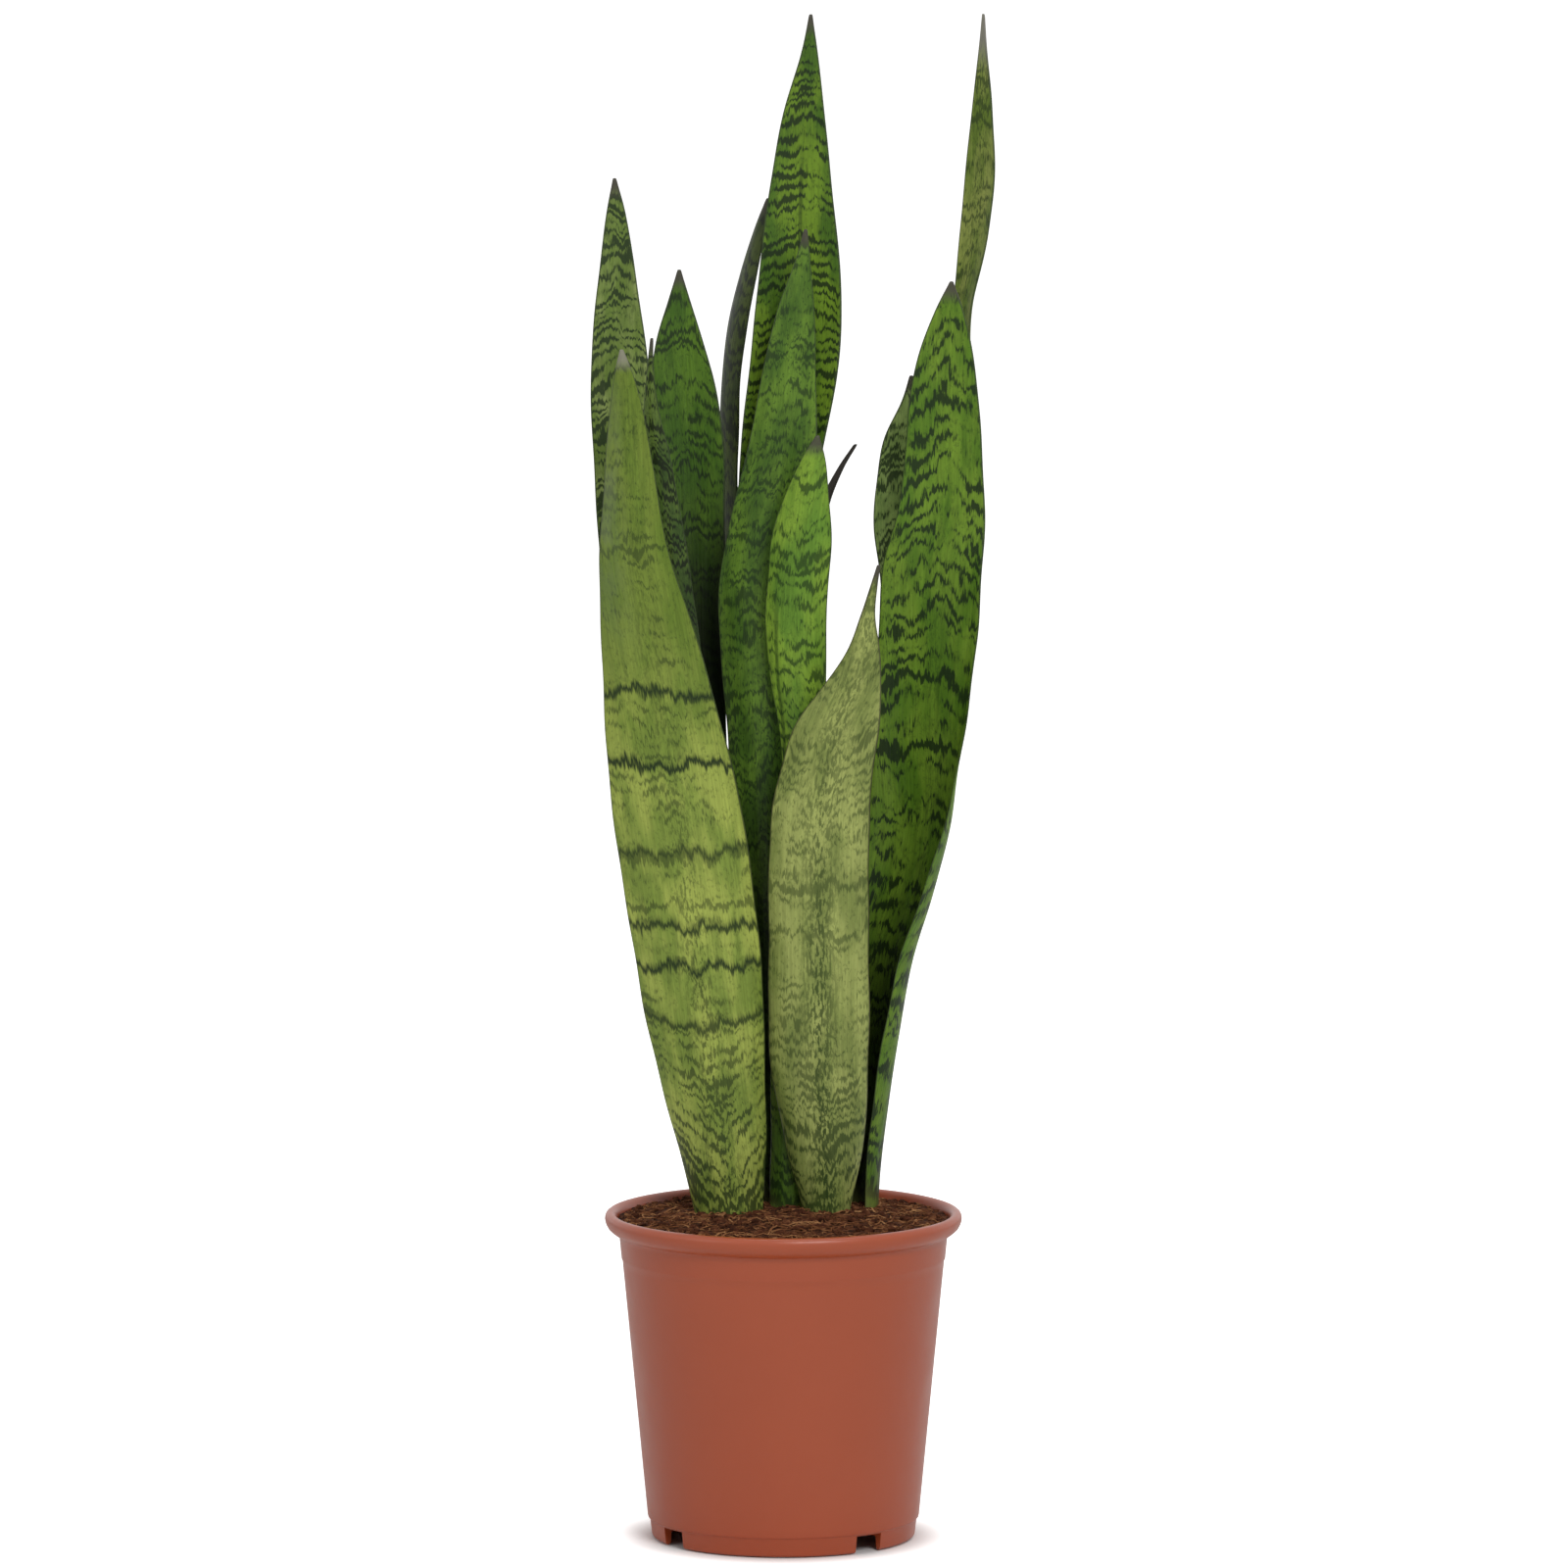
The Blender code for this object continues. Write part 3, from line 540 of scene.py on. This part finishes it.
# radius and height in mm, from the middle of the underside, up the outside and down the inside
potProfile = [
    (8, 0), (20, 0), (22.5, 0.5), (27.5, 5.7), (30, 6.4), (45, 6.4), (59, 6.4), (59.6, 5.8), (60, 0.8),
    (60.4, 0.2), (61.2, 0), (61.9, 0.1), (62.5, 0.6), (62.8, 1.4), (wallRadius(8.4) - 1, 8.4),
    (wallRadius(8.8) - 0.75, 8.9), (wallRadius(9.4) - 0.1, 9.5), (wallRadius(10.4), 10.4)]
potProfile += [(wallRadius(h), h) for h in (11.5, 25, 40, 55, 70, 85, 100, 112, 122, 130, 132.9)]
potProfile += [(wallRadius(h), h) for h in (133.9, 134.8, 139, 143, 144.8)]
potProfile += [(78.5, 145.5), (79.1, 145.95), (79.9, 146.1), (81.0, 146.6), (82.2, 147.5), (83.5, 148.7),
               (84.3, 150.1), (84.8, 151.5), (85, 152.9), (84.85, 154.1), (84.4, 155.0), (83.6, 155.65),
               (82.6, 155.95), (81.7, 155.9), (80.8, 155.5), (80.1, 154.8), (79.6, 153.9), (79.2, 152.6),
               (78.2, 149.5), (77.3, 146.8)]
potProfile += [(wallRadius(h) - potBuild["wall"], h)
               for h in (141, 136, 134.2, 132.6, 125, 100, 75, 50, 25, 12)]
potProfile += [(62.4, 9.4), (61.2, 8.2), (59.5, 8.0), (30, 8.0), (8, 8.0)]


def turnProfile(name, profile, segments):  # extrudes a circle from ring to ring, as a potter draws up a wall
    deselectAll()
    radius, height = profile[0]
    bpy.ops.mesh.primitive_circle_add(vertices=segments, radius=radius * mm, fill_type="TRIFAN",
                                      location=(0, 0, height * mm))
    piece = bpy.context.object
    piece.name = name
    settle(piece)
    bpy.ops.object.mode_set(mode="EDIT")
    bpy.ops.mesh.select_mode(type="EDGE")
    bpy.ops.mesh.select_all(action="DESELECT")
    mesh = bmesh.from_edit_mesh(piece.data)
    for edge in mesh.edges:
        edge.select = edge.is_boundary
    bmesh.update_edit_mesh(piece.data)
    for nextRadius, nextHeight in profile[1:]:
        bpy.ops.mesh.extrude_edges_move(TRANSFORM_OT_translate={"value": (0, 0, (nextHeight - height) * mm)})
        scale = nextRadius / radius
        bpy.ops.transform.resize(value=(scale, scale, 1), center_override=(0, 0, nextHeight * mm))
        radius, height = nextRadius, nextHeight
    bpy.ops.mesh.extrude_edges_move(TRANSFORM_OT_translate={"value": (0, 0, 0)})
    bpy.ops.mesh.merge(type="CENTER")
    bpy.ops.mesh.select_all(action="SELECT")
    bpy.ops.mesh.remove_doubles(threshold=1e-6)
    bpy.ops.mesh.normals_make_consistent(inside=False)
    bpy.ops.object.mode_set(mode="OBJECT")
    pointOutwards(piece)
    return piece


pot = turnProfile("growing_pot", potProfile, potBuild["segments"])
for turnDegrees in potBuild["slotTurns"]:
    deselectAll()
    turn = math.radians(turnDegrees)
    middle = (potBuild["slotFrom"] + potBuild["slotTo"]) / 2 * mm
    slotMiddle = (potBuild["slotStart"] + potBuild["slotHigh"]) / 2 * mm
    bpy.ops.mesh.primitive_cube_add(size=1, location=(middle * math.sin(turn), -middle * math.cos(turn),
                                                      slotMiddle))
    cutter = bpy.context.object
    cutter.scale = (potBuild["slotWide"] * mm, (potBuild["slotTo"] - potBuild["slotFrom"]) * mm,
                    (potBuild["slotHigh"] - potBuild["slotStart"]) * mm)
    cutter.rotation_euler = (0, 0, turn)
    settle(cutter)
    slotCut = pot.modifiers.new("drain slot", "BOOLEAN")
    slotCut.operation = "DIFFERENCE"
    slotCut.solver = "EXACT"
    slotCut.object = cutter
    applyModifiers(pot)
    bpy.data.objects.remove(cutter)
makeActive(pot)
bpy.ops.object.shade_smooth_by_angle(angle=math.radians(35))

# Polypropylene, injection moulded and coloured terracotta in the mass: an even colour with a satin skin.
potMaterial, potTree, potShader = startMaterial("moulded terracotta polypropylene", 0.34, 1.49, 0.65)
potPlace = addNode(potTree, "TexCoord").outputs["Object"]
potCloud = addNode(potTree, "TexNoise", {"Vector": potPlace, "Scale": 14.0, "Detail": 3.0}).outputs["Fac"]
potTint = addNode(potTree, "Mix", {"Factor": potCloud, "A": linear("#a34520"), "B": linear("#aa4b25")},
                  data_type="RGBA").outputs["Result"]
potTree.links.new(potTint, potShader.inputs["Base Color"])
potGloss = addNode(potTree, "TexNoise", {"Vector": potPlace, "Scale": 60.0, "Detail": 4.0}).outputs["Fac"]
potTree.links.new(addNode(potTree, "MapRange", {0: potGloss, 1: 0.3, 2: 0.7, 3: 0.30, 4: 0.38}).outputs[0],
                  potShader.inputs["Roughness"])
# the mould leaves a fine orange peel, drawn at 1.2 mm so that it shows
potPeel = addNode(potTree, "TexNoise", {"Vector": potPlace, "Scale": 830.0, "Detail": 2.0}).outputs["Fac"]
potBump = addNode(potTree, "Bump", {"Strength": 0.12, "Distance": 0.0002, "Height": potPeel}).outputs[0]
potTree.links.new(potBump, potShader.inputs["Normal"])
pot.data.materials.append(potMaterial)
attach(pot, "root")
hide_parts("pot")
print("pot ready")


soilBuild = {
    "segments": 168, "radialSteps": 46, "lump": 1.5, "grit": 0.7,
    "crumbs": 1100, "fibres": 760, "seed": 7,
    "reach": 76.6,       # mm, how far out a strand may lie
    "topFrom": 149.5,    # mm, the rings above this are the loose top
}
soilTop = [(0, 155.3), (25, 154.9), (45, 154.1), (60, 153.3), (70, 152.8), (78.6, 152.3)]


def soilHeight(x, y):  # mm, from the place in mm
    radius = math.hypot(x, y)
    base = float(np.interp(radius, [r for r, _ in soilTop], [h for _, h in soilTop]))
    lump = noise.noise(Vector((x / 9, y / 9, 3.1))) * soilBuild["lump"]
    grit = noise.noise(Vector((x / 2.3, y / 2.3, 8.4))) * soilBuild["grit"]
    return base + lump + grit


soilRings = [(1.2, 8.3), (58, 8.3), (61.5, 9.5)]
soilRings += [(wallRadius(h) - 1.75, h) for h in (14, 40, 80, 130, 136, 142)]
soilRings += [(77.0, 148.0)]
soilRings += [(78.6 - 77.4 * i / soilBuild["radialSteps"], 151) for i in range(soilBuild["radialSteps"] + 1)]
soil = turnProfile("potting_soil", soilRings, soilBuild["segments"])
for vertex in soil.data.vertices:
    if vertex.co.z > soilBuild["topFrom"] * mm:
        vertex.co.z = soilHeight(vertex.co.x / mm, vertex.co.y / mm) * mm
makeActive(soil)
bpy.ops.object.shade_smooth()

draw = random.Random(soilBuild["seed"])


def soilSpot(reach=76.5):
    radius = reach * math.sqrt(draw.random())
    turn = draw.uniform(0, 2 * math.pi)
    return radius * math.cos(turn), radius * math.sin(turn)


deselectAll()
bpy.ops.mesh.primitive_ico_sphere_add(subdivisions=1, radius=mm, location=(0, 0, 0))
crumb = bpy.context.object
crumb.name = "soil_crumbs"
for vertex in crumb.data.vertices:
    vertex.co *= draw.uniform(0.75, 1.15)
crumbs = [crumb]
for _ in range(soilBuild["crumbs"]):
    twin = crumb.copy()
    twin.data = crumb.data.copy()
    scene.collection.objects.link(twin)
    x, y = soilSpot()
    size = draw.choice((0.6, 0.8, 1.0, 1.3, 1.8, 2.4))
    stretch = Matrix.Diagonal((size * draw.uniform(0.7, 1.5), size, size * draw.uniform(0.5, 0.9), 1))
    spin = Euler([draw.uniform(0, 6.3) for _ in range(3)]).to_matrix().to_4x4()
    place = Matrix.Translation(Vector((x, y, soilHeight(x, y) + size * 0.15)) * mm)
    twin.data.transform(place @ stretch @ spin)
    crumbs.append(twin)
deselectAll()
x, y = soilSpot()
crumb.data.transform(Matrix.Translation(Vector((x, y, soilHeight(x, y))) * mm))
for piece in crumbs:
    piece.select_set(True)
bpy.context.view_layer.objects.active = crumb
bpy.ops.object.join()


def fibreMesh(points, thick):  # a bent strand with three sides and closed ends
    verts, faces = [], []
    for i, point in enumerate(points):
        ahead = (points[min(i + 1, len(points) - 1)] - points[max(i - 1, 0)]).normalized()
        sideways = ahead.cross(Vector((0, 0, 1))).normalized()
        upward = sideways.cross(ahead)
        size = thick * (0.55 if i in (0, len(points) - 1) else 1)
        for k in range(3):
            angle = 2 * math.pi * k / 3
            verts.append(point + (sideways * math.cos(angle) + upward * math.sin(angle)) * size)
    for i in range(len(points) - 1):
        for k in range(3):
            a, b = i * 3 + k, i * 3 + (k + 1) % 3
            faces.append((a, b, b + 3, a + 3))
    last = (len(points) - 1) * 3
    return verts, faces + [(2, 1, 0), (last, last + 1, last + 2)]


verts, faces = [], []
for _ in range(soilBuild["fibres"]):
    x, y = soilSpot(75)
    heading = draw.uniform(0, 2 * math.pi)
    curl = draw.uniform(-0.35, 0.35)
    stride = draw.uniform(1.0, 2.6)
    lift = draw.uniform(0.0, 0.5)
    points = []
    count = draw.randint(4, 8)
    for i in range(count):
        arch = math.sin(math.pi * i / (count - 1)) * lift * 2
        points.append(Vector((x, y, soilHeight(x, y) + 0.25 + arch)) * mm)
        heading += curl + draw.uniform(-0.3, 0.3)
        x, y = x + stride * math.cos(heading), y + stride * math.sin(heading)
        if math.hypot(x, y) > soilBuild["reach"]:
            x, y = x * 0.97, y * 0.97  # turned back from the wall
    strandVerts, strandFaces = fibreMesh(points, draw.uniform(0.18, 0.42) * mm)
    faces += [[index + len(verts) for index in face] for face in strandFaces]
    verts += strandVerts
fibreData = bpy.data.meshes.new("coir_fibres")
fibreData.from_pydata(verts, [], faces)
fibres = bpy.data.objects.new("coir_fibres", fibreData)
scene.collection.objects.link(fibres)
pointOutwards(fibres)


# Peat with coir: crumbly and fibrous, no gloss at all, red brown with near black patches spread at random.
def soilMaterial(name, dark, middle, light, sizeMm):
    material, tree, shader = startMaterial(name, 0.95, 1.4, 0.15)
    place = addNode(tree, "TexCoord").outputs["Object"]
    mixNoise = addNode(tree, "TexNoise", {"Vector": place, "Scale": 1000 / sizeMm, "Detail": 4.0,
                                          "Roughness": 0.65}).outputs["Fac"]
    ramp = addNode(tree, "ValToRGB", {0: mixNoise})
    ramp.color_ramp.elements[0].position = 0.36
    ramp.color_ramp.elements[0].color = linear(dark)
    ramp.color_ramp.elements[1].position = 0.66
    ramp.color_ramp.elements[1].color = linear(light)
    ramp.color_ramp.elements.new(0.5).color = linear(middle)
    tree.links.new(ramp.outputs[0], shader.inputs["Base Color"])
    rough = addNode(tree, "TexNoise", {"Vector": place, "Scale": 1400.0, "Detail": 3.0}).outputs["Fac"]
    bump = addNode(tree, "Bump", {"Strength": 0.6, "Distance": 0.0006, "Height": rough}).outputs[0]
    tree.links.new(bump, shader.inputs["Normal"])
    return material


soil.data.materials.append(soilMaterial("damp peat", "#25120a", "#4a2919", "#7a4e35", 3.0))
crumb.data.materials.append(soilMaterial("peat crumbs", "#341b10", "#55301f", "#7d5135", 6))
fibres.data.materials.append(soilMaterial("coir fibre", "#5a3620", "#8a5a3a", "#bb8a5e", 9))
for piece in (soil, crumb, fibres):
    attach(piece, "root")
    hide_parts("soil")
print("soil ready")

# Fleshy rhizome with thin roots: pale tan skin, slightly ringed. It stays as it is in the CAD.
rootMaterial, rootTree, rootShader = startMaterial("rhizome skin", 0.7, 1.45, 0.3)
rootPlace = addNode(rootTree, "TexCoord").outputs["Object"]
rootNoise = addNode(rootTree, "TexNoise", {"Vector": rootPlace, "Scale": 260.0, "Detail": 4.0}).outputs["Fac"]
rootTint = addNode(rootTree, "Mix", {"Factor": rootNoise, "A": linear("#b98f5e"), "B": linear("#8a6238")},
                   data_type="RGBA").outputs["Result"]
rootTree.links.new(rootTint, rootShader.inputs["Base Color"])
rhizome = nodes["rhizome_and_roots"]
rhizome.data.materials.clear()
rhizome.data.materials.append(rootMaterial)
